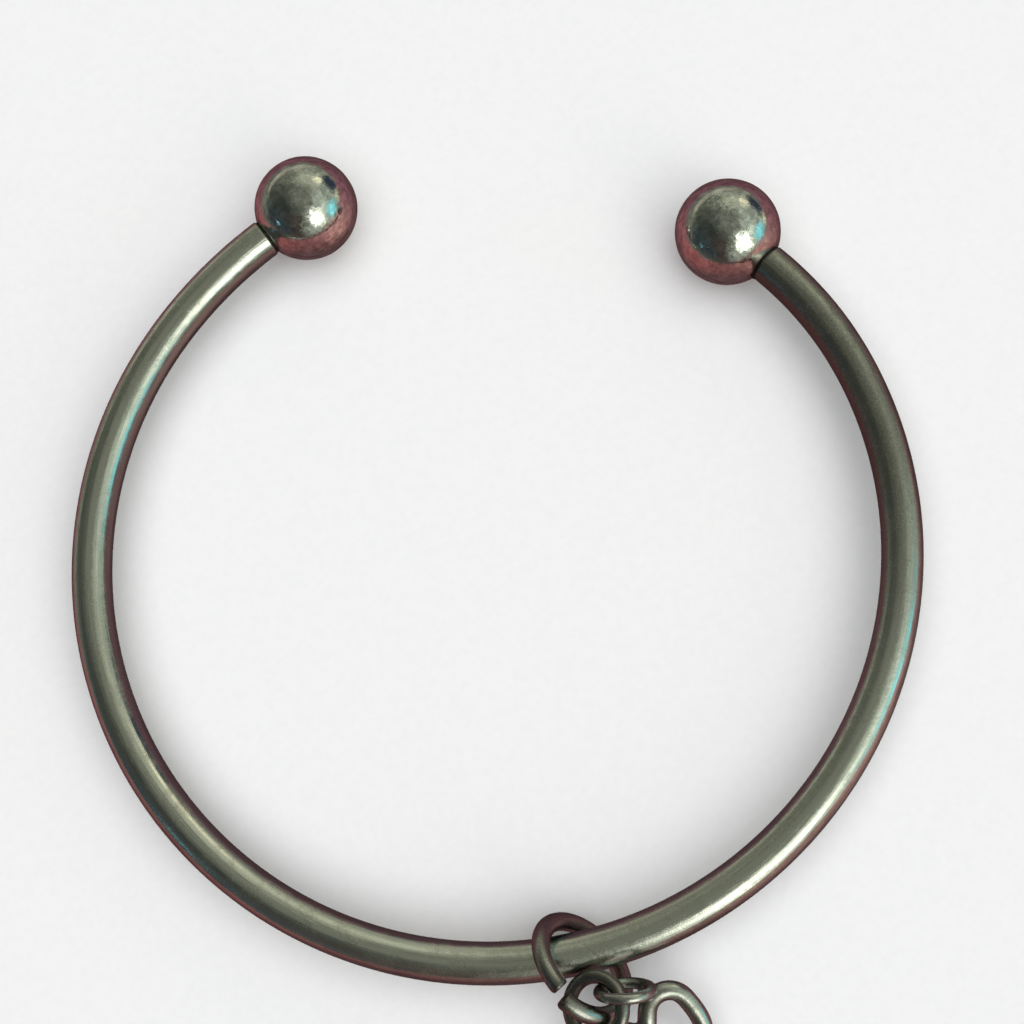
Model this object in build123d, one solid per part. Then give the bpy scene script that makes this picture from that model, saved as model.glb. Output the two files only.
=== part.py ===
from build123d import *
import math
import os

# Open torque bangle with ball ends, carrying a heart charm on two linked rings. Millimetres.
# The bangle lies in the XY plane round the origin, its gap faces +Y and its axis is +Z.

# Bar: a round rod bent to a circle, with its left arm sprung open and its right arm closed a little.
BAR_RADIUS = 1.5
BAR_BEND = 30.1
HALF_GAP_DEG = 32.74
ARM_LENGTH = 10.0
LEFT_ARM_BEND = 33.4
RIGHT_ARM_BEND = 26.4
BAR_END_CHAMFER = 0.1

# Balls: each is drilled, and soldered on the tenon turned at its end of the bar.
BALL_RADIUS = 4.0
TENON_RADIUS = 1.25
TENON_LENGTH = 2.6
HOLE_CLEARANCE = 0.02
HOLE_DEPTH = 2.9
SHOULDER_GAP = 0.03

# Solder: a thin ring in the groove behind each ball, with a drop left on the right-hand joint.
SEAM_RADIUS = 1.4
SEAM_WIDTH = 0.4
DROP_RADIUS = 0.3
DROP_OFFSET = 1.32

# Rings: radius of the wire, bend radius to its middle, gap at the cut, twist of each half.
LARGE_WIRE = 0.65
LARGE_BEND = 3.68
LARGE_CUT_GAP = 0.6
LARGE_TWIST_DEG = 2.0
SMALL_WIRE = 0.5
SMALL_BEND = 2.1
SMALL_CUT_GAP = 0.06
SMALL_TWIST_DEG = 0.0

# Heart charm: one casting of round section, with an eye on a short neck at its right lobe.
HEART_WIRE = 0.68
LOBE_OFFSET = 2.2
LOBE_BEND = 1.5
LOBE_END_DEG = -85.0
CLEFT_DEPTH = 0.3
SHOULDER_BEND = 8.0
SHOULDER_TURN_DEG = 12.0
SIDE_BEND = 3.0
SIDE_TURN_DEG = 35.0
EYE_WIRE = 0.4
EYE_BEND = 1.8
NECK_RADIUS = 0.6
NECK_FOOT = Vector(1.64, 1.39, 0)

# How the chain lies at rest: the middle of each piece and the way that its flat side faces.
LARGE_RING_MIDDLE = Vector(9.30, -29.65, 0.66)
LARGE_RING_FACES = Vector(0.587, 0.605, 0.538)
LARGE_RING_CUT = Vector(-0.29, -0.46, 0.84)
SMALL_RING_MIDDLE = Vector(10.50, -32.19, 1.66)
SMALL_RING_FACES = Vector(-0.455, -0.049, 0.889)
SMALL_RING_CUT = Vector(0, -1, 0)
HEART_MIDDLE = Vector(13.83, -33.62, -0.5)
HEART_FACES = Vector(0.228, -0.239, 0.944)
HEART_RIGHT = Vector(0.725, 0.689, 0)
EYE_MIDDLE = Vector(12.42, -30.89, 1.88)
EYE_FACES = Vector(-0.129, 0.959, 0.254)


def round_wire(path, radius):
    """Solid of round section along one line or arc."""
    section = Plane(origin=path @ 0, z_dir=path % 0) * Circle(radius)
    return sweep(section, path=path)


def plug(radius, length):
    """Cylinder that stands on the XY plane."""
    return Cylinder(radius, length, align=(Align.CENTER, Align.CENTER, Align.MIN))


def facing_plane(middle, facing, towards):
    """Plane through middle that faces one way, its X axis turned as far as it can towards another."""
    normal = facing.normalized()
    return Plane(origin=middle, x_dir=towards - normal * towards.dot(normal), z_dir=normal)


def arc_degrees(length, bend):
    """Angle in degrees of this length of an arc."""
    return math.degrees(length / bend)


# The bar's line: the main arc runs anticlockwise from the left arm, past -Y, to the right arm.
shoulder_to_ball = math.sqrt(BALL_RADIUS**2 - TENON_RADIUS**2) + SHOULDER_GAP
arm_start_deg = HALF_GAP_DEG + arc_degrees(shoulder_to_ball + ARM_LENGTH, BAR_BEND)
main_arc = CenterArc((0, 0), BAR_BEND, 90 + arm_start_deg, 360 - 2 * arm_start_deg)
left_arm = JernArc(main_arc @ 0, -(main_arc % 0), LEFT_ARM_BEND, -arc_degrees(ARM_LENGTH, LEFT_ARM_BEND))
right_arm = JernArc(main_arc @ 1, main_arc % 1, RIGHT_ARM_BEND, arc_degrees(ARM_LENGTH, RIGHT_ARM_BEND))
# Planes on the two flat ends of the bar, each facing its ball.
left_end = Plane(origin=left_arm @ 1, z_dir=left_arm % 1)
right_end = Plane(origin=right_arm @ 1, z_dir=right_arm % 1)


def bangle_bar():
    """The bent rod, with a chamfered shoulder and a tenon at each end."""
    bar = round_wire(main_arc, BAR_RADIUS)
    for arm, end in ((left_arm, left_end), (right_arm, right_end)):
        rod = round_wire(arm, BAR_RADIUS)
        circles = rod.edges().filter_by(GeomType.CIRCLE)
        rim = min(circles, key=lambda edge: (edge.arc_center - end.origin).length)
        bar += chamfer(rim, BAR_END_CHAMFER)
        bar += end * plug(TENON_RADIUS, TENON_LENGTH)
    return bar


def ball(end):
    """A ball drilled for the tenon at this end of the bar."""
    sphere = Pos(0, 0, shoulder_to_ball) * Sphere(BALL_RADIUS)
    drill_length = 2 * HOLE_DEPTH
    return end * (sphere - Cylinder(TENON_RADIUS + HOLE_CLEARANCE, drill_length))


def solder_seam(end, with_drop):
    """Solder between the flat end of the bar and the ball, which a drop may overflow inwards."""
    seam = plug(SEAM_RADIUS, SEAM_WIDTH)
    if with_drop:
        inwards = end.to_local_coords(Vector(0, 0, 0) - end.z_dir * end.origin.dot(end.z_dir))
        inwards = Vector(inwards.X, inwards.Y, 0).normalized()
        drop = Pos(*(inwards * DROP_OFFSET)) * Sphere(DROP_RADIUS)
        seam += drop
    seam -= Pos(0, 0, shoulder_to_ball) * Sphere(BALL_RADIUS)
    seam = end * seam
    return seam - bangle_bar()


def jump_ring(plane, bend, wire, cut_gap, twist_deg):
    """Ring of round wire, cut on the plane's +X side, each half turned about its far side."""
    half_cut_deg = arc_degrees(cut_gap / 2, bend)
    far_side = Axis((-bend, 0, 0), (0, 1, 0))
    halves = []
    for side in (1, -1):
        arc = CenterArc((0, 0), bend, 180, -side * (180 - half_cut_deg))
        halves.append(round_wire(arc, wire).rotate(far_side, side * twist_deg))
    return plane * (halves[0] + halves[1])


def half_heart_path():
    """Lines and arcs of the right half of the heart, from the cleft over the lobe to the tip."""
    to_lobe = math.hypot(LOBE_OFFSET, CLEFT_DEPTH)
    cleft_line_deg = math.degrees(math.atan2(CLEFT_DEPTH, LOBE_OFFSET) + math.asin(LOBE_BEND / to_lobe))
    cleft_line = PolarLine((0, -CLEFT_DEPTH), math.sqrt(to_lobe**2 - LOBE_BEND**2), cleft_line_deg)
    lobe = JernArc(cleft_line @ 1, cleft_line % 1, LOBE_BEND, LOBE_END_DEG - cleft_line_deg)
    shoulder = JernArc(lobe @ 1, lobe % 1, SHOULDER_BEND, -SHOULDER_TURN_DEG)
    side = JernArc(shoulder @ 1, shoulder % 1, SIDE_BEND, -SIDE_TURN_DEG)
    inwards = side % 1
    tip_line = Line(side @ 1, side @ 1 - inwards * ((side @ 1).X / inwards.X))
    return [cleft_line, lobe, shoulder, side, tip_line]


def heart_charm(plane, eye_facing):
    """The heart, its eye and the neck that carries the eye, as one casting."""
    path = half_heart_path()
    half = Pos(*(path[0] @ 0)) * Sphere(HEART_WIRE) + Pos(*(path[-1] @ 1)) * Sphere(HEART_WIRE)
    for piece in path:
        half += round_wire(piece, HEART_WIRE)
    heart = plane * (half + half.mirror(Plane.YZ))
    foot = plane.from_local_coords(NECK_FOOT)
    eye_plane = facing_plane(EYE_MIDDLE, eye_facing, foot - EYE_MIDDLE)
    eye = eye_plane * Torus(EYE_BEND, EYE_WIRE)
    near_side = eye_plane.from_local_coords(Vector(EYE_BEND, 0, 0))
    neck = round_wire(Line(foot, near_side), NECK_RADIUS)
    return heart + eye + neck


if __name__ == "__main__":
    large_ring_plane = facing_plane(LARGE_RING_MIDDLE, LARGE_RING_FACES, LARGE_RING_CUT)
    small_ring_plane = facing_plane(SMALL_RING_MIDDLE, SMALL_RING_FACES, SMALL_RING_CUT)
    heart_plane = facing_plane(HEART_MIDDLE, HEART_FACES, HEART_RIGHT)
    parts = {
        "bangle_bar": bangle_bar(),
        "ball_left": ball(left_end),
        "ball_right": ball(right_end),
        "solder_seam_left": solder_seam(left_end, False),
        "solder_seam_right": solder_seam(right_end, True),
        "jump_ring_large": jump_ring(
            large_ring_plane, LARGE_BEND, LARGE_WIRE, LARGE_CUT_GAP, LARGE_TWIST_DEG
        ),
        "jump_ring_small": jump_ring(
            small_ring_plane, SMALL_BEND, SMALL_WIRE, SMALL_CUT_GAP, SMALL_TWIST_DEG
        ),
        "heart_charm": heart_charm(heart_plane, EYE_FACES),
    }
    os.makedirs("parts", exist_ok=True)
    for node, solid in parts.items():
        export_step(solid, f"parts/{node}.step")
        print(node, round(solid.volume, 2), "mm3, valid", solid.is_valid, "solids", len(solid.solids()))
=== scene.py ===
import math

import bmesh
import bpy
from mathutils import Matrix, Quaternion, Vector, noise
from mathutils.bvhtree import BVHTree


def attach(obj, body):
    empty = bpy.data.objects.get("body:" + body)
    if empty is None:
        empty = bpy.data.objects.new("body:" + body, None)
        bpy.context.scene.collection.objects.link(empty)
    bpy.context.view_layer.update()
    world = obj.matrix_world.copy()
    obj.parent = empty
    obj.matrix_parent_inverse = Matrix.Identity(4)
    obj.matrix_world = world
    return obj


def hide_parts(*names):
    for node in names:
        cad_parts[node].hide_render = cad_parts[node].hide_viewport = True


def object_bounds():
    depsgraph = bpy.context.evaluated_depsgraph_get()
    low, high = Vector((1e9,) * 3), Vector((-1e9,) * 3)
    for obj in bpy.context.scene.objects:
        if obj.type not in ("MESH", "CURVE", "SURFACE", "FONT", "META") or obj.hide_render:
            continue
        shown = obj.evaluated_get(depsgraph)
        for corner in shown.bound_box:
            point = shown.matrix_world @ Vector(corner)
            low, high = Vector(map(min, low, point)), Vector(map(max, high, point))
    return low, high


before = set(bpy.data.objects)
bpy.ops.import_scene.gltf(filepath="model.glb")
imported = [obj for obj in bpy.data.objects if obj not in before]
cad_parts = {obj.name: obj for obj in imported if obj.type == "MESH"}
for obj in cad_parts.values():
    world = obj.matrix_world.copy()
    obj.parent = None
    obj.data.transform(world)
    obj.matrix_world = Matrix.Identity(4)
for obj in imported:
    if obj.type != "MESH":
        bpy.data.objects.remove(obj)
cad_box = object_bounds()

# Open torque bangle with ball ends, carrying a heart charm on two linked rings.
# Sizes and places are those of the CAD model, in millimetres; MM turns them into metres.
MM = 0.001
UP = Vector((0, 0, 1))

# Bar: a round rod bent to a circle, its left arm sprung open and its right arm closed a little.
BAR_RADIUS = 1.5
BAR_BEND = 30.1
HALF_GAP_DEG = 32.74
ARM_LENGTH = 10.0
LEFT_ARM_BEND = 33.4
RIGHT_ARM_BEND = 26.4
BAR_STEP = 0.35

# Balls, each on the tenon turned at its end of the bar.
BALL_RADIUS = 4.0
TENON_RADIUS = 1.25
TENON_LENGTH = 2.6
TENON_EDGE = 0.1
HOLE_RADIUS = 1.27
HOLE_DEPTH = 2.9
SHOULDER_GAP = 0.03
SHOULDER_TO_BALL = math.sqrt(BALL_RADIUS**2 - TENON_RADIUS**2) + SHOULDER_GAP

# Profiles of the worn shoulder and of the tenon: distance past the bar's flat end, and radius there.
SHOULDER = [
    (-0.14, BAR_RADIUS),
    (-0.11, 1.495),
    (-0.08, 1.475),
    (-0.04, 1.435),
    (-0.01, 1.405),
    (0.0, 1.38),
]
TENON = [
    (0.0, TENON_RADIUS),
    (TENON_LENGTH - TENON_EDGE, TENON_RADIUS),
    (TENON_LENGTH, TENON_RADIUS - TENON_EDGE),
]

# Rings: radius of the wire, bend radius to its middle, gap at the cut, twist of each half.
LARGE_WIRE = 0.65
LARGE_BEND = 3.68
LARGE_CUT_GAP = 0.6
LARGE_TWIST_DEG = 2.0
SMALL_WIRE = 0.5
SMALL_BEND = 2.1
SMALL_CUT_GAP = 0.06
SMALL_TWIST_DEG = 0.0

# Heart charm: a heart of nearly round wire, with an eye on a short neck at its right lobe.
HEART_WIRE = 0.68
HEART_FLATNESS = 0.94
LOBE_OFFSET = 2.2
LOBE_BEND = 1.5
LOBE_END_DEG = -85.0
CLEFT_DEPTH = 0.3
SHOULDER_BEND = 8.0
SHOULDER_TURN_DEG = 12.0
SIDE_BEND = 3.0
SIDE_TURN_DEG = 35.0
HEART_STEP = 0.12
NECK_FOOT = Vector((1.64, 1.39, 0))
EYE_WIRE = 0.4
EYE_BEND = 1.8
CASTING_VOXEL = 0.075

# How the chain lies at rest: the middle of each piece and the way that its flat side faces.
LARGE_RING_MIDDLE = Vector((9.30, -29.65, 0.66))
LARGE_RING_FACES = Vector((0.587, 0.605, 0.538))
LARGE_RING_CUT = Vector((-0.29, -0.46, 0.84))
SMALL_RING_MIDDLE = Vector((10.50, -32.19, 1.66))
SMALL_RING_FACES = Vector((-0.455, -0.049, 0.889))
SMALL_RING_CUT = Vector((0, -1, 0))
HEART_MIDDLE = Vector((13.83, -33.62, -0.5))
HEART_FACES = Vector((0.228, -0.239, 0.944))
HEART_RIGHT = Vector((0.725, 0.689, 0))
EYE_MIDDLE = Vector((12.42, -30.89, 1.88))
EYE_FACES = Vector((-0.129, 0.959, 0.254))

# Painted shade goes where metal stands within this reach in front of a surface, near the chain.
CHAIN_MIDDLE = Vector((11.5, -31.0, 0.5))
CHAIN_REACH = 9.0
CREVICE_REACH = 1.3
CREVICE_RAYS = 18
CREVICE_SHADE_STRENGTH = 1.9


# ---------------------------------------------------------------- meshes
def finish_piece(name, mesh, material, body, slot, *nodes):
    """Shade a mesh smooth, link it as a piece and hang it on its body."""
    for polygon in mesh.polygons:
        polygon.use_smooth = True
    piece = bpy.data.objects.new(name, mesh)
    bpy.context.scene.collection.objects.link(piece)
    mesh.materials.append(material)
    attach(piece, body)
    if nodes:
        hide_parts(*nodes)
    return piece


def skin(name, rings, closed=False, lengths=None, girth=1.0):
    """Quads over a run of equal rings of points, with caps unless closed.

    The UV map has the lengths along the run across, and the way round each ring, up to girth, upwards.
    """
    around = len(rings[0])
    count = len(rings)
    points = [Vector(p) * MM for ring in rings for p in ring]
    faces = []
    corners = []
    spans = count if closed else count - 1
    for i in range(spans):
        for j in range(around):
            k = (j + 1) % around
            m = (i + 1) % count
            faces.append((i * around + j, i * around + k, m * around + k, m * around + j))
            corners.append(((i, j), (i, j + 1), (i + 1, j + 1), (i + 1, j)))
    if not closed:
        for row, turn in ((0, -1), (count - 1, 1)):
            middle = sum(rings[row], Vector()) / around
            points.append(middle * MM)
            tip = len(points) - 1
            for j in range(around):
                k = (j + 1) % around
                pair = (row * around + j, row * around + k)
                faces.append((*pair[::turn], tip))
                corners.append(((row, j), (row, j + 1), (row, j)))
    mesh = bpy.data.meshes.new(name)
    mesh.from_pydata(points, [], faces)
    layer = mesh.uv_layers.new(name="along")
    lengths = lengths or list(range(count + 1))
    at = 0
    for face in corners:
        for i, j in face:
            layer.data[at].uv = (lengths[min(i, len(lengths) - 1)], girth * j / around)
            at += 1
    mesh.validate()
    mesh.update()
    return mesh


def run_lengths(points):
    """Distance along a run of points at each of them."""
    out = [0.0]
    for a, b in zip(points, points[1:]):
        out.append(out[-1] + (b - a).length)
    return out


def ring_at(middle, side, top, radius, around):
    """A circle of points round middle, from the side direction towards the top one."""
    out = []
    for j in range(around):
        a = 2 * math.pi * j / around
        out.append(middle + (side * math.cos(a) + top * math.sin(a)) * radius)
    return out


def lathe(name, origin, axis, profile, around):
    """A turned solid: the profile's points are (distance along the axis, radius)."""
    spin = axis.to_track_quat("Z", "Y")
    side = spin @ Vector((1, 0, 0))
    top = spin @ Vector((0, 1, 0))
    least_radius = 0.0005
    rings = [ring_at(origin + axis * d, side, top, max(r, least_radius), around) for d, r in profile]
    lengths = run_lengths([Vector((d, r, 0)) for d, r in profile])
    return skin(name, rings, lengths=lengths, girth=2 * math.pi)


def dent(mesh, middle, amount, size, seed):
    """Move the points a little in and out from middle, in waves of that size."""
    for vertex in mesh.vertices:
        away = vertex.co / MM - middle
        wave = noise.noise(away / size + Vector((seed, seed, seed)))
        vertex.co += away.normalized() * wave * amount * MM


def facing_axes(facing, towards):
    """Right-handed axes with Z along facing and X as near as it can be to towards."""
    z = facing.normalized()
    x = (towards - z * towards.dot(z)).normalized()
    return x, z.cross(x), z


def paint_dirt_and_shade(mesh, amount):
    """Write how dark each point is painted, from 0 to 1, given its place: dirt, tarnish and painted
    shade.
    """
    layer = mesh.color_attributes.new("grime", "FLOAT_COLOR", "POINT")
    for vertex, cell in zip(mesh.vertices, layer.data):
        value = min(1.0, max(0.0, amount(vertex.co / MM)))
        cell.color = (value, value, value, 1)


# ---------------------------------------------------------------- bar path
def arc_run(start, heading, bend, turn, step):
    """Points and headings of a flat arc; a positive turn bends left."""
    side = 1 if turn > 0 else -1
    normal = Vector((-heading.y, heading.x, 0)) * side
    middle = start + normal * bend
    count = max(2, round(abs(turn) * bend / step))
    points, headings = [], []
    for i in range(count + 1):
        spin = Matrix.Rotation(turn * i / count, 3, "Z")
        points.append(middle + spin @ (start - middle))
        headings.append(spin @ heading)
    return points, headings


def bar_half(side):
    """The bar's line from its lowest point out to one end: side is 1 for right and -1 for left."""
    arm_bend = RIGHT_ARM_BEND if side > 0 else LEFT_ARM_BEND
    arm_start = math.radians(HALF_GAP_DEG) + (SHOULDER_TO_BALL + ARM_LENGTH) / BAR_BEND
    lowest = Vector((0, -BAR_BEND, 0))
    outwards = Vector((side, 0, 0))
    points, headings = arc_run(lowest, outwards, BAR_BEND, side * (math.pi - arm_start), BAR_STEP)
    arm, turned = arc_run(points[-1], headings[-1], arm_bend, side * ARM_LENGTH / arm_bend, BAR_STEP)
    return points + arm[1:], headings + turned[1:]


right_points, right_headings = bar_half(1)
left_points, left_headings = bar_half(-1)
bar_points = left_points[:0:-1] + right_points
bar_headings = [-heading for heading in left_headings[:0:-1]] + right_headings
right_end, right_way = right_points[-1], right_headings[-1]
left_end, left_way = left_points[-1], left_headings[-1]


# ---------------------------------------------------------------- material nodes
class Nodes:
    """Short calls for building a node tree."""

    def __init__(self, tree):
        self.tree = tree
        tree.nodes.clear()

    def add(self, kind, inputs=None, **settings):
        """A node with these settings, its inputs linked to sockets or set to values."""
        made = self.tree.nodes.new(kind)
        for key, value in settings.items():
            setattr(made, key, value)
        for key, value in (inputs or {}).items():
            socket = made.inputs[key]
            if isinstance(value, bpy.types.NodeSocket):
                self.tree.links.new(value, socket)
            else:
                socket.default_value = value
        return made

    def math(self, operation, *values, clamp=False):
        """One step of arithmetic."""
        made = self.add("ShaderNodeMath", dict(enumerate(values)), operation=operation, use_clamp=clamp)
        return made.outputs[0]

    def span(self, value, low, high, to_low=0.0, to_high=1.0):
        """A smooth step from to_low to to_high as the value goes from low to high."""
        inputs = {0: value, 1: low, 2: high, 3: to_low, 4: to_high}
        return self.add("ShaderNodeMapRange", inputs, interpolation_type="SMOOTHSTEP").outputs[0]

    def noise(self, vector, scale, detail=3.0, rough=0.55, distortion=0.0):
        """Cloudy noise, mostly between 0.3 and 0.7."""
        inputs = {
            "Vector": vector,
            "Scale": scale,
            "Detail": detail,
            "Roughness": rough,
            "Distortion": distortion,
        }
        return self.add("ShaderNodeTexNoise", inputs).outputs[0]

    def mapped(self, vector, scale=(1, 1, 1), turn=(0, 0, 0), move=(0, 0, 0)):
        """A scaled, turned and moved place."""
        inputs = {"Vector": vector, "Location": move, "Rotation": turn, "Scale": scale}
        return self.add("ShaderNodeMapping", inputs).outputs[0]

    def place_in_mm(self, where):
        """The place on the piece, in millimetres."""
        return self.mapped(where.outputs["Object"], scale=(1 / MM, 1 / MM, 1 / MM))

    def bump(self, height, distance=MM):
        """Normal of a surface with this height, in units of distance."""
        inputs = {"Height": height, "Distance": distance, "Strength": 1.0}
        return self.add("ShaderNodeBump", inputs).outputs[0]

    def blend(self, factor, first, second, kind="MIX"):
        """Mix of two colours, each a socket or three numbers."""
        made = self.add("ShaderNodeMix", data_type="RGBA", blend_type=kind)
        for index, value in ((0, factor), (6, first), (7, second)):
            socket = made.inputs[index]
            if isinstance(value, bpy.types.NodeSocket):
                self.tree.links.new(value, socket)
            elif index:
                socket.default_value = (*value, 1)
            else:
                socket.default_value = value
        return made.outputs[2]

    def surface(self, inputs):
        """The Principled shader, joined to the material's output."""
        shader = self.add("ShaderNodeBsdfPrincipled", inputs)
        self.add("ShaderNodeOutputMaterial", {"Surface": shader.outputs[0]})


def new_material(name):
    """An empty node material and the calls that fill it."""
    material = bpy.data.materials.new(name)
    material.use_nodes = True
    return material, Nodes(material.node_tree)


# Three sets of straight scratches: their turn, and a shift that keeps them apart.
SCRATCH_SETS = (
    ((0.5, 0.3, 0.2), 0.0),
    ((1.3, -0.6, 1.1), 17.0),
    ((-0.4, 1.0, 2.2), 41.0),
)
# Heights and depths of the marks in the metal.
SCRATCH_DEPTH = 0.0006
NICK_DEPTH = 0.012
WORN_HEIGHT = 0.012
GRAIN_HEIGHT = 0.0005
DRAWN_HEIGHT = 0.030
# Colours of the film in the hollows, of the painted shade on the lower sides, and of the dirt and painted
# crevice shade.
FILM = (0.50, 0.47, 0.39)
SIDE_SHADE_COLOUR = (0.27, 0.36, 0.345)
DIRT_AND_SHADE = (0.10, 0.085, 0.07)


def scratches(n, place):
    """Fine straight scratches that cross each other, from 0 to 1."""
    lines = None
    for turn, shift in SCRATCH_SETS:
        stretched = n.mapped(place, scale=(0.30, 9.0, 9.0), turn=turn, move=(shift, shift, 0))
        line = n.span(n.noise(stretched, 1.0, 1.0, 0.5), 0.70, 0.76)
        lines = line if lines is None else n.math("MAXIMUM", lines, line)
    return lines


def relief(n, place, wobble, patch, scratch, drawn):
    """Height of the metal in mm: slow waves, scratches, nicks, worn patches, grain and drawn lines."""
    nick = n.span(n.noise(place, 3.3, 2.0, 0.7), 0.74, 0.78)
    worn = n.math("MULTIPLY", patch, n.noise(place, 4.5, 3.0, 0.6))
    height = n.math("MULTIPLY", n.noise(place, 0.45, 2.0), wobble)
    height = n.math("SUBTRACT", height, n.math("MULTIPLY", scratch, SCRATCH_DEPTH))
    height = n.math("SUBTRACT", height, n.math("MULTIPLY", nick, NICK_DEPTH))
    height = n.math("ADD", height, n.math("MULTIPLY", n.noise(place, 1.9, 3.0, 0.6), wobble * 0.45))
    height = n.math("ADD", height, n.math("MULTIPLY", worn, WORN_HEIGHT))
    height = n.math("ADD", height, n.math("MULTIPLY", n.noise(place, 22.0, 2.0), GRAIN_HEIGHT))
    if drawn:
        height = n.math("ADD", height, n.math("MULTIPLY", drawn, DRAWN_HEIGHT))
    return height


def silver(name, gloss, wobble, tone, streaks=None, grime=0.5, side_shade=0.0):
    """Worn silver-tone plate with a cloudy polish, fine scratches, nicks and a dull film.

    gloss is the (lowest, highest) roughness, wobble the height of its waves in mm, tone the clean metal's
    colour, streaks the density of drawn lines along a wire, grime the film's strength, and side_shade the
    strength of the painted shade, a dark teal, on the lower-facing sides.
    """
    material, n = new_material(name)
    where = n.add("ShaderNodeTexCoord")
    place = n.place_in_mm(where)
    # Clouds about 2 mm across set the polish and the film, which a finer noise breaks up.
    cloud = n.noise(place, 0.55, 4.0, 0.6, 0.6)
    patch = n.span(cloud, 0.46, 0.66)
    fine = n.noise(place, 7.0, 3.0, 0.6)
    film = n.math("MULTIPLY", patch, n.span(fine, 0.35, 0.7))
    scratch = scratches(n, place)
    drawn = None
    if streaks:
        along = n.mapped(where.outputs["UV"], scale=(0.07, streaks, 1))
        drawn = n.noise(along, 1.0, 3.0, 0.6, 0.2)
        dark_line = n.math("MULTIPLY", n.span(drawn, 0.55, 0.70), 0.6)
        film = n.math("MAXIMUM", film, dark_line)
    height = relief(n, place, wobble, patch, scratch, drawn)

    # The grime attribute holds dirt and painted shade; both darken the colour and dull the gloss.
    dirt_and_shade = n.add("ShaderNodeVertexColor", layer_name="grime").outputs["Color"]
    dirt_and_shade = n.math("MULTIPLY", dirt_and_shade, n.span(fine, 0.25, 0.6, 0.6, 1.0))
    colour = n.blend(n.math("MULTIPLY", film, grime), tone, FILM)
    # Painted shade: the lower-facing sides are darkened towards a dark teal.
    if side_shade:
        facing = n.add("ShaderNodeSeparateXYZ", {0: where.outputs["Normal"]}).outputs[2]
        ragged = n.math("MULTIPLY", n.math("SUBTRACT", cloud, 0.5), 0.35)
        facing = n.math("ADD", facing, ragged)
        colour = n.blend(n.span(facing, 0.80, 0.50, 0.0, side_shade), colour, SIDE_SHADE_COLOUR)
    colour = n.blend(dirt_and_shade, colour, DIRT_AND_SHADE)

    rough = n.span(cloud, 0.3, 0.75, *gloss)
    rough = n.math("ADD", rough, n.math("MULTIPLY", film, 0.06))
    rough = n.math("ADD", rough, n.math("MULTIPLY", scratch, 0.08))
    rough = n.math("ADD", rough, n.math("MULTIPLY", dirt_and_shade, 0.25), clamp=True)
    n.surface({
        "Base Color": colour,
        "Metallic": 1.0,
        "Roughness": rough,
        "Specular Tint": (0.88, 0.82, 0.82, 1),
        "Normal": n.bump(height),
    })
    return material


def solder_metal():
    """Dull grey-brown solder with a pitted, oxidised skin."""
    material, n = new_material("oxidised_solder")
    place = n.place_in_mm(n.add("ShaderNodeTexCoord"))
    lumps = n.noise(place, 5.0, 4.0, 0.65)
    lump_height = 0.10
    n.surface({
        "Base Color": n.blend(n.span(lumps, 0.5, 0.8), (0.06, 0.05, 0.045), (0.32, 0.28, 0.24)),
        "Metallic": 0.9,
        "Roughness": n.span(lumps, 0.3, 0.7, 0.55, 0.32),
        "Normal": n.bump(n.math("MULTIPLY", lumps, lump_height)),
    })
    return material


bar_silver = silver(
    "drawn_bar_silver", (0.17, 0.30), 0.024, (0.87, 0.87, 0.80), streaks=2.08, grime=0.55, side_shade=0.85
)
ball_silver = silver("polished_ball_silver", (0.04, 0.10), 0.034, (0.76, 0.77, 0.73))
ring_silver = silver(
    "ring_wire_silver", (0.10, 0.20), 0.012, (0.76, 0.75, 0.71), streaks=3.9, grime=0.6, side_shade=0.7
)
charm_silver = silver("cast_charm_silver", (0.20, 0.32), 0.020, (0.64, 0.64, 0.60), side_shade=0.7)
solder = solder_metal()


# ---------------------------------------------------------------- bar
def bar_mesh():
    """The bent rod with rounded shoulders, and a tenon beyond each."""
    around = 96
    rings, line = [], []

    def end_rings(end, way, outwards):
        steps = SHOULDER + TENON
        side = (way if outwards else -way).cross(UP)
        for d, r in steps if outwards else reversed(steps):
            middle = end + way * d
            rings.append(ring_at(middle, side, UP, r, around))
            line.append(middle)

    end_rings(left_end, left_way, False)
    for place, heading in list(zip(bar_points, bar_headings))[1:-1]:
        rings.append(ring_at(place, heading.cross(UP), UP, BAR_RADIUS, around))
        line.append(place)
    end_rings(right_end, right_way, True)
    return skin("bangle_rod", rings, lengths=run_lengths(line), girth=2 * math.pi * BAR_RADIUS)


def bar_shade_and_tarnish(p):
    """Painted shade in the groove past each shoulder, and a brown tarnish that fades down the right arm.
    """
    end, way = (left_end, left_way) if p.x < 0 else (right_end, right_way)
    # Painted shade in the groove where the rod's shoulder meets the ball.
    near_end = (p - end).length < 2 * BAR_RADIUS
    gain_per_mm = 14
    groove_shade = 1 + gain_per_mm * (p - end).dot(way) if near_end else 0.0
    fade_from, fade_over, darkest = -8.0, 16.0, 0.58
    tarnish = darkest * min(1.0, max(0.0, (p.y - fade_from) / fade_over)) if p.x > 0 else 0.0
    return max(groove_shade, tarnish)


rod = bar_mesh()
paint_dirt_and_shade(rod, bar_shade_and_tarnish)
finish_piece("bangle_rod", rod, bar_silver, "bangle", "bar_metal", "bangle_bar")


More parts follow.
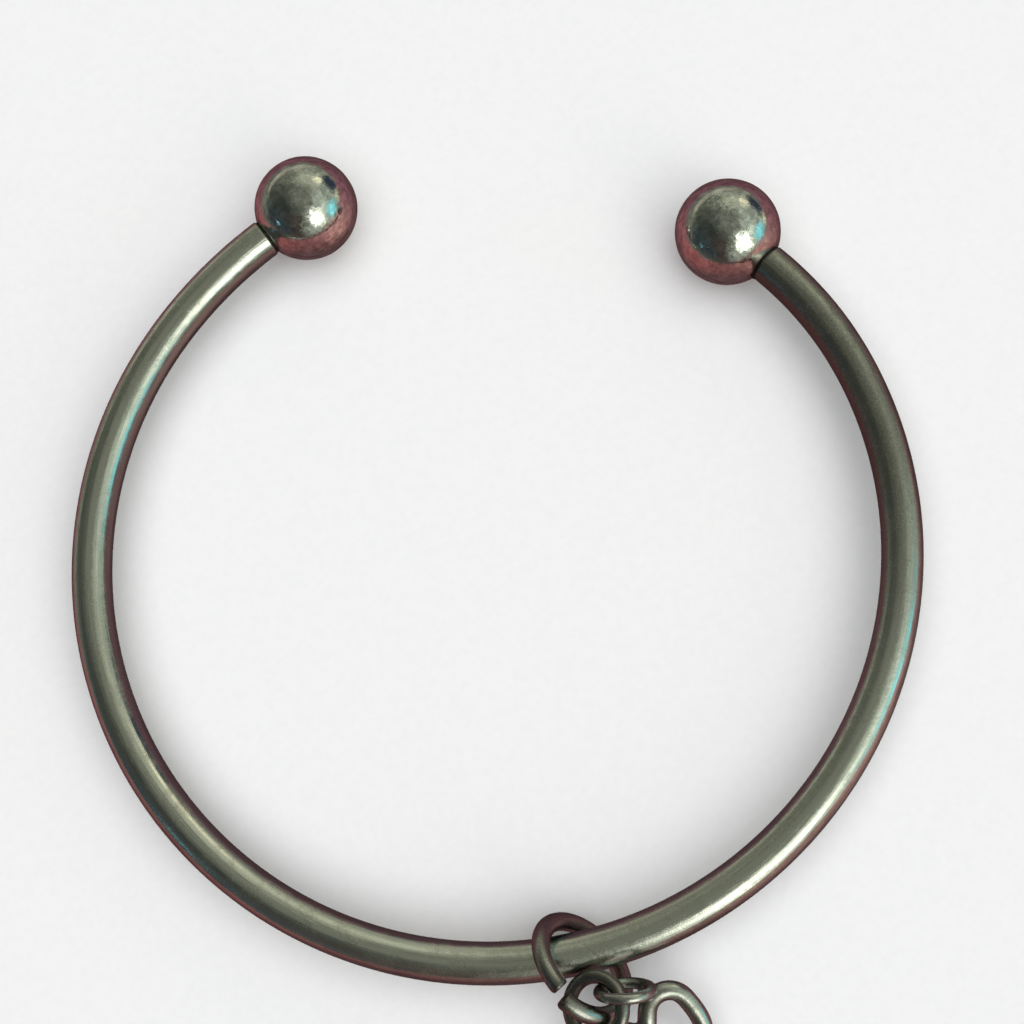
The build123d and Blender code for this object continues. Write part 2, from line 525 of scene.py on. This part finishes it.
# ---------------------------------------------------------------- balls and solder
def ball_mesh(name, end, way, seed):
    """A slightly dented ball with a blind hole whose mouth is a little rounded, dirty round the joint."""
    middle = end + way * SHOULDER_TO_BALL
    mouth = math.asin((HOLE_RADIUS + 0.05) / BALL_RADIUS)
    face = -BALL_RADIUS * math.cos(mouth)
    hole_end = HOLE_DEPTH - SHOULDER_TO_BALL
    # The hole's end, its wall and the two points of its rounded mouth, before the sphere itself.
    profile = [
        (hole_end, 0.0),
        (hole_end, HOLE_RADIUS),
        (face + 0.06, HOLE_RADIUS),
        (face + 0.015, HOLE_RADIUS + 0.012),
    ]
    steps = 110
    for i in range(steps + 1):
        a = mouth + (math.pi - mouth) * i / steps
        profile.append((-BALL_RADIUS * math.cos(a), BALL_RADIUS * math.sin(a)))
    mesh = lathe(name, middle, way, profile, 160)
    dent_depth, dent_size = 0.012, 1.6
    dent(mesh, middle, dent_depth, dent_size, seed)
    dirt_from, dirt_over = 1.36, 0.7
    paint_dirt_and_shade(mesh, lambda p: 1.0 - ((p - end).length - dirt_from) / dirt_over)
    return mesh


for side, end, way, seed in (("left", left_end, left_way, 3.0), ("right", right_end, right_way, 8.0)):
    ball = ball_mesh(f"ball_shell_{side}", end, way, seed)
    finish_piece(f"ball_shell_{side}", ball, ball_silver, "bangle", "ball_metal", f"ball_{side}")
    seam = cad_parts[f"solder_seam_{side}"].data
    for polygon in seam.polygons:
        polygon.use_smooth = True
    seam.materials[0] = solder


# ---------------------------------------------------------------- rings
def cut_ring(name, middle, facing, towards, bend, wire, cut_gap, twist_deg):
    """A ring of round wire whose two cut ends are sprung apart."""
    x, y, z = facing_axes(facing, towards)
    half_cut = cut_gap / 2 / bend
    far_side = middle - x * bend
    around = 48
    half_count = 110
    last = 2 * half_count
    # The wire's ends are slightly rounded: the radius at the last few rings, as a share of the wire's.
    end_shares = (0.80, 0.93, 0.99)
    rings, line = [], []
    for i in range(last + 1):
        a = half_cut + (2 * math.pi - 2 * half_cut) * i / last
        out = x * math.cos(a) + y * math.sin(a)
        side = 1 if i < half_count else -1
        twist = Quaternion(y, side * math.radians(twist_deg))
        place = far_side + twist @ (middle + out * bend - far_side)
        from_end = min(i, last - i)
        share = end_shares[from_end] if from_end < len(end_shares) else 1.0
        rings.append(ring_at(place, twist @ out, twist @ z, wire * share, around))
        line.append(place)
    return skin(name, rings, lengths=run_lengths(line), girth=2 * math.pi * wire)


large_ring = cut_ring(
    "ring_wire_large", LARGE_RING_MIDDLE, LARGE_RING_FACES, LARGE_RING_CUT,
    LARGE_BEND, LARGE_WIRE, LARGE_CUT_GAP, LARGE_TWIST_DEG,
)
small_ring = cut_ring(
    "ring_wire_small", SMALL_RING_MIDDLE, SMALL_RING_FACES, SMALL_RING_CUT,
    SMALL_BEND, SMALL_WIRE, SMALL_CUT_GAP, SMALL_TWIST_DEG,
)
paint_dirt_and_shade(large_ring, lambda p: 0.0)
paint_dirt_and_shade(small_ring, lambda p: 0.0)
finish_piece("ring_wire_large", large_ring, ring_silver, "large_ring", "ring_metal", "jump_ring_large")
finish_piece("ring_wire_small", small_ring, ring_silver, "small_ring", "ring_metal", "jump_ring_small")


# ---------------------------------------------------------------- heart
heart_axes = facing_axes(HEART_FACES, HEART_RIGHT)


def from_heart(p):
    """A point in the heart's own plane, put in its place."""
    x, y, z = heart_axes
    return HEART_MIDDLE + x * p.x + y * p.y + z * p.z


def heart_line():
    """The heart's right half, from the cleft over the lobe to the point, in its own plane."""
    reach = math.hypot(LOBE_OFFSET, CLEFT_DEPTH)
    climb = math.atan2(CLEFT_DEPTH, LOBE_OFFSET) + math.asin(LOBE_BEND / reach)
    straight = math.sqrt(reach**2 - LOBE_BEND**2)
    cleft = Vector((0, -CLEFT_DEPTH, 0))
    heading = Vector((math.cos(climb), math.sin(climb), 0))
    cleft_steps, tip_steps = 12, 24
    points = [cleft + heading * straight * i / cleft_steps for i in range(cleft_steps)]
    place = cleft + heading * straight
    arcs = (
        (LOBE_BEND, math.radians(LOBE_END_DEG) - climb),
        (SHOULDER_BEND, -math.radians(SHOULDER_TURN_DEG)),
        (SIDE_BEND, -math.radians(SIDE_TURN_DEG)),
    )
    for bend, turn in arcs:
        run, headings = arc_run(place, heading, bend, turn, HEART_STEP)
        points += run[:-1]
        place, heading = run[-1], headings[-1]
    tip = place - heading * (place.x / heading.x)
    points += [place.lerp(tip, i / tip_steps) for i in range(tip_steps + 1)]
    return points


def softened(loop):
    """A closed line with its corners eased."""
    for _ in range(3):
        loop = [(loop[i - 1] + loop[i] * 2 + loop[(i + 1) % len(loop)]) / 4 for i in range(len(loop))]
    return loop


def closed_tube(name, points, wire, z, around, flat=1.0):
    """A tube round a flat closed line; flat squeezes it along the line's normal."""
    rings = []
    count = len(points)
    for i, place in enumerate(points):
        along = (points[(i + 1) % count] - points[i - 1]).normalized()
        side = along.cross(z).normalized()
        ring = ring_at(Vector(), side, z * flat, wire, around)
        rings.append([place + q for q in ring])
    return skin(name, rings, closed=True)


def neck_mesh(foot, top):
    """The waisted neck from the lobe to the eye, its narrow tip sunk in the eye's wire."""
    length = (top - foot).length
    tip_depth = 0.15
    profile = [(0, 0.60), (length * 0.5, 0.52), (length, 0.56), (length + tip_depth, 0.3)]
    return lathe("neck", foot, (top - foot).normalized(), profile, 32)


def fused(name, meshes):
    """One skin over overlapping meshes, with soft corners between them."""
    whole = bmesh.new()
    for mesh in meshes:
        whole.from_mesh(mesh)
    mesh = bpy.data.meshes.new(name)
    whole.to_mesh(mesh)
    whole.free()
    blank = bpy.data.objects.new(name + "_blank", mesh)
    bpy.context.scene.collection.objects.link(blank)
    remesh = blank.modifiers.new("fuse", "REMESH")
    remesh.mode = "VOXEL"
    remesh.voxel_size = CASTING_VOXEL * MM
    soften = blank.modifiers.new("soften", "SMOOTH")
    soften.factor = 0.5
    soften.iterations = 6
    bpy.context.view_layer.update()
    made = bpy.data.meshes.new_from_object(blank.evaluated_get(bpy.context.evaluated_depsgraph_get()))
    bpy.data.objects.remove(blank)
    return made


def heart_mesh():
    """Heart, eye and neck as one casting."""
    half = heart_line()
    loop = softened(half + [Vector((-p.x, p.y, 0)) for p in half[-2:0:-1]])
    placed = [from_heart(p) for p in loop]
    heart = closed_tube("heart_loop", placed, HEART_WIRE, heart_axes[2], 40, HEART_FLATNESS)
    foot = from_heart(NECK_FOOT)
    x, y, z = facing_axes(EYE_FACES, foot - EYE_MIDDLE)
    eye = closed_tube("eye_loop", ring_at(EYE_MIDDLE, x, y, EYE_BEND, 96), EYE_WIRE, z, 32)
    neck = neck_mesh(foot, EYE_MIDDLE + x * EYE_BEND)
    return fused("heart_casting", (heart, eye, neck))


def darker_round_neck_foot(p):
    """Darker on the lobe round the neck's foot."""
    lift, strongest, fade_over = 0.3, 0.9, 1.3
    darkest_point = from_heart(NECK_FOOT) + heart_axes[2] * lift
    return strongest - (p - darkest_point).length / fade_over


casting = heart_mesh()
paint_dirt_and_shade(casting, darker_round_neck_foot)
finish_piece("heart_casting", casting, charm_silver, "charm", "charm_metal", "heart_charm")


# ---------------------------------------------------------------- painted shade between the links
def spread_rays():
    """Directions spread evenly over the half sphere about +Z, short of its rim."""
    golden_turn = math.pi * (3 - math.sqrt(5))
    height_used = 0.92
    rays = []
    for i in range(CREVICE_RAYS):
        z = 1 - (i + 0.5) / CREVICE_RAYS * height_used
        across = Vector((math.cos(i * golden_turn), math.sin(i * golden_turn), 0))
        rays.append(across * math.sqrt(1 - z * z) + UP * z)
    return rays


def paint_crevice_shade(meshes):
    """Add painted shade to the grime attribute wherever other metal stands close in front of a surface.
    """
    points, faces = [], []
    for mesh in meshes:
        base = len(points)
        points += [v.co / MM for v in mesh.vertices]
        faces += [[base + i for i in p.vertices] for p in mesh.polygons]
    tree = BVHTree.FromPolygons(points, faces)
    rays = spread_rays()
    clear_of_surface = 0.02
    for mesh in meshes:
        layer = mesh.color_attributes["grime"]
        for vertex, cell in zip(mesh.vertices, layer.data):
            p = vertex.co / MM
            if (p - CHAIN_MIDDLE).length > CHAIN_REACH:
                continue
            turn = vertex.normal.to_track_quat("Z", "Y")
            shut = 0.0
            for ray in rays:
                hit = tree.ray_cast(p + vertex.normal * clear_of_surface, turn @ ray, CREVICE_REACH)
                if hit[0] is not None:
                    shut += 1 - hit[3] / CREVICE_REACH
            # Painted shade: the more nearby metal closes off the view, the darker the point.
            value = min(1.0, max(cell.color[0], CREVICE_SHADE_STRENGTH * shut / len(rays)))
            cell.color = (value, value, value, 1)


# Paint shade into the crevices between the bar, rings and heart.
paint_crevice_shade([rod, large_ring, small_ring, casting])


# ---------------------------------------------------------------- floor
def pale_paper():
    """Matt off-white paper with a fine tooth."""
    material, n = new_material("pale_paper")
    tooth = n.noise(n.place_in_mm(n.add("ShaderNodeTexCoord")), 1.6, 4.0, 0.6)
    tooth_height = 0.01
    n.surface({
        "Base Color": n.blend(n.span(tooth, 0.3, 0.7), (0.865, 0.846, 0.888), (0.885, 0.866, 0.908)),
        "Roughness": 0.9,
        "Normal": n.bump(tooth, tooth_height * MM),
    })
    return material


def floor_sheet(height, reach):
    """A square sheet of paper at this height, which reaches this far from the origin, in metres."""
    signs = ((-1, -1), (1, -1), (1, 1), (-1, 1))
    corners = [(x * reach, y * reach, height) for x, y in signs]
    mesh = bpy.data.meshes.new("floor")
    mesh.from_pydata(corners, [], [(0, 1, 2, 3)])
    mesh.materials.append(pale_paper())
    sheet = bpy.data.objects.new("floor", mesh)
    bpy.context.scene.collection.objects.link(sheet)
    # The rose cloth of the world below stands in for the floor in reflections.
    sheet.visible_glossy = False
    sheet.visible_shadow = False
    return sheet


FLOOR_REACH = 2.0
floor = floor_sheet(cad_box[0][2], FLOOR_REACH)


# ---------------------------------------------------------------- surroundings
def way_to(azimuth_deg, zenith_deg):
    """Unit vector at this azimuth from +X and this angle down from straight up."""
    a, t = math.radians(azimuth_deg), math.radians(zenith_deg)
    return Vector((math.cos(a) * math.sin(t), math.sin(a) * math.sin(t), math.cos(t)))


def rgb(red, green, blue, gain=1.0):
    """Linear colour of a display colour given in 0 to 255."""
    out = []
    for value in (red, green, blue):
        v = value / 255
        out.append(gain * (v / 12.92 if v <= 0.04045 else ((v + 0.055) / 1.055) ** 2.4))
    return tuple(out)


# Soft panels round the object, in degrees: azimuth, angle from straight up, half sizes across and down.
# Then come the edge's softness and raggedness, and the colour as it looks in polished metal. Later panels
# cover earlier ones.
PANELS = (
    # ceiling, darker to the left and near the camera
    (130, 55, 55, 28, 0.5, 0.9, rgb(82, 86, 76)),
    (215, 54, 48, 36, 0.5, 0.9, rgb(48, 52, 48)),
    (-97, 68, 40, 27, 0.5, 0.8, rgb(62, 54, 50)),
    # pale veil from the window round to the far wall
    (12, 46, 58, 20, 0.7, 2.4, rgb(134, 142, 132)),
    # pale mottled far wall, its bright window and the band along its foot
    (75, 51, 30, 22, 0.5, 5.0, rgb(152, 156, 139)),
    (62, 58, 8, 8, 0.15, 1.8, rgb(228, 224, 192)),
    (120, 82, 48, 6, 0.6, 1.0, rgb(142, 140, 126)),
    (28, 84, 14, 5, 0.5, 0.8, rgb(190, 196, 164)),
    # dark corner
    (46, 78, 15, 11, 0.4, 1.8, rgb(40, 46, 60)),
    # dark left wall with one glint
    (218, 74, 32, 20, 0.5, 1.2, rgb(50, 57, 60)),
    (217, 76, 3, 2.5, 0.4, 0.5, rgb(130, 190, 200)),
    # big window on the right: haze round it, white pane, blue pane
    (-28, 58, 34, 24, 0.6, 2.4, rgb(184, 194, 178)),
    (-42, 55, 15, 17, 0.4, 3.6, rgb(250, 255, 240, 1.6)),
    (-4, 75, 14, 12, 0.5, 3.4, rgb(140, 226, 232)),
)
# The rose cloth that the object lies on: paler towards the window, darker straight below.
CLOTH = (
    (-40, 114, 46, 26, 0.8, 1.2, rgb(190, 148, 140)),
    (-110, 125, 60, 45, 0.7, 0.8, rgb(136, 78, 78)),
    (90, 110, 70, 30, 0.7, 0.8, rgb(116, 76, 88)),
    (0, 180, 89, 40, 0.5, 0.2, rgb(84, 62, 64)),
)
PLAIN_ROOM = rgb(100, 103, 93)
PLAIN_CLOTH = rgb(118, 78, 82)
# The metal gives back this share of what it reflects, so the surroundings are that much brighter.
SILVER_SHARE = 0.78
# The room's edge against the cloth slopes, lower to the left.
ROOM_UP = Vector((-0.13, 0.03, 1))
BACKDROP = (0.90, 0.90, 0.90)


def build_world():
    """Reflected surroundings, a dim room above and rose cloth below. The camera sees a pale backdrop."""
    world = bpy.data.worlds.new("studio")
    bpy.context.scene.world = world
    world.use_nodes = True
    n = Nodes(world.node_tree)
    way = n.add("ShaderNodeTexCoord").outputs["Generated"]
    ragged = n.math("SUBTRACT", n.noise(way, 9.0, 6.0, 0.72, 0.8), 0.5)

    def dot(vector):
        inputs = {0: way, 1: tuple(vector)}
        return n.add("ShaderNodeVectorMath", inputs, operation="DOT_PRODUCT").outputs["Value"]

    def lit(shade):
        return tuple(c / SILVER_SHARE for c in shade)

    def paint(base, panels):
        made = n.add("ShaderNodeRGB")
        made.outputs[0].default_value = (*lit(base), 1)
        colour = made.outputs[0]
        for azimuth, zenith, across, down, soft, rag, shade in panels:
            ahead = way_to(azimuth, zenith)
            sideways = way_to(azimuth + 90, 90)
            downwards = way_to(azimuth, zenith + 90)
            x = n.math("DIVIDE", dot(sideways), math.sin(math.radians(across)))
            y = n.math("DIVIDE", dot(downwards), math.sin(math.radians(down)))
            away = n.math("SQRT", n.math("ADD", n.math("MULTIPLY", x, x), n.math("MULTIPLY", y, y)))
            away = n.math("ADD", away, n.math("MULTIPLY", ragged, rag))
            mask = n.span(away, 1 - soft, 1 + soft, 1.0, 0.0)
            mask = n.math("MULTIPLY", mask, n.math("GREATER_THAN", dot(ahead), 0.0))
            colour = n.blend(mask, colour, lit(shade))
        return colour

    above = paint(PLAIN_ROOM, PANELS)
    below = paint(PLAIN_CLOTH, CLOTH)
    height = n.math("ADD", dot(ROOM_UP), n.math("MULTIPLY", ragged, 0.34))
    seen = n.blend(n.span(height, -0.18, 0.02), below, above)
    mottle = n.span(n.noise(way, 6.0, 6.0, 0.7, 0.5), 0.34, 0.66, 0.62, 1.42)
    seen = n.blend(1.0, seen, mottle, "MULTIPLY")
    straight = n.add("ShaderNodeLightPath").outputs["Is Camera Ray"]
    seen = n.blend(straight, seen, BACKDROP)
    back = n.add("ShaderNodeBackground", {"Color": seen, "Strength": 1.0})
    n.add("ShaderNodeOutputWorld", {"Surface": back.outputs[0]})


def soft_sun(name, towards, power, spread_deg):
    """A broad, even lamp, which lights the floor but doesn't show in the metal."""
    data = bpy.data.lights.new(name, "SUN")
    data.energy = power
    data.angle = math.radians(spread_deg)
    lamp = bpy.data.objects.new(name, data)
    bpy.context.scene.collection.objects.link(lamp)
    lamp.rotation_euler = Vector(towards).to_track_quat("Z", "Y").to_euler()
    lamp.visible_glossy = False


build_world()
soft_sun("overhead", (0.15, -0.1, 1.0), power=2.35, spread_deg=80)


# ---------------------------------------------------------------- camera
# In millimetres: where the camera stands, and its sensor and lens.
CAMERA_PLACE = Vector((16.78, -24.92, 125.90))
CAMERA_RIGHT = Vector((0.99127, 0.08445, -0.10129))
CAMERA_UP = Vector((-0.06056, 0.97380, 0.21921))
SENSOR_WIDTH = 36.0
FOCAL_LENGTH = 61.52
CLIP_START = 2.0


def add_camera():
    """The camera, nearly straight above the bangle and tilted about 14 degrees."""
    data = bpy.data.cameras.new("camera")
    data.sensor_width = SENSOR_WIDTH
    data.lens = FOCAL_LENGTH
    data.clip_start = CLIP_START * MM
    camera = bpy.data.objects.new("camera", data)
    bpy.context.scene.collection.objects.link(camera)
    turn = Matrix((CAMERA_RIGHT, CAMERA_UP, CAMERA_RIGHT.cross(CAMERA_UP))).transposed().to_4x4()
    camera.matrix_world = Matrix.Translation(CAMERA_PLACE * MM) @ turn
    bpy.context.scene.camera = camera


add_camera()
bpy.context.scene.view_settings.view_transform = "Standard"
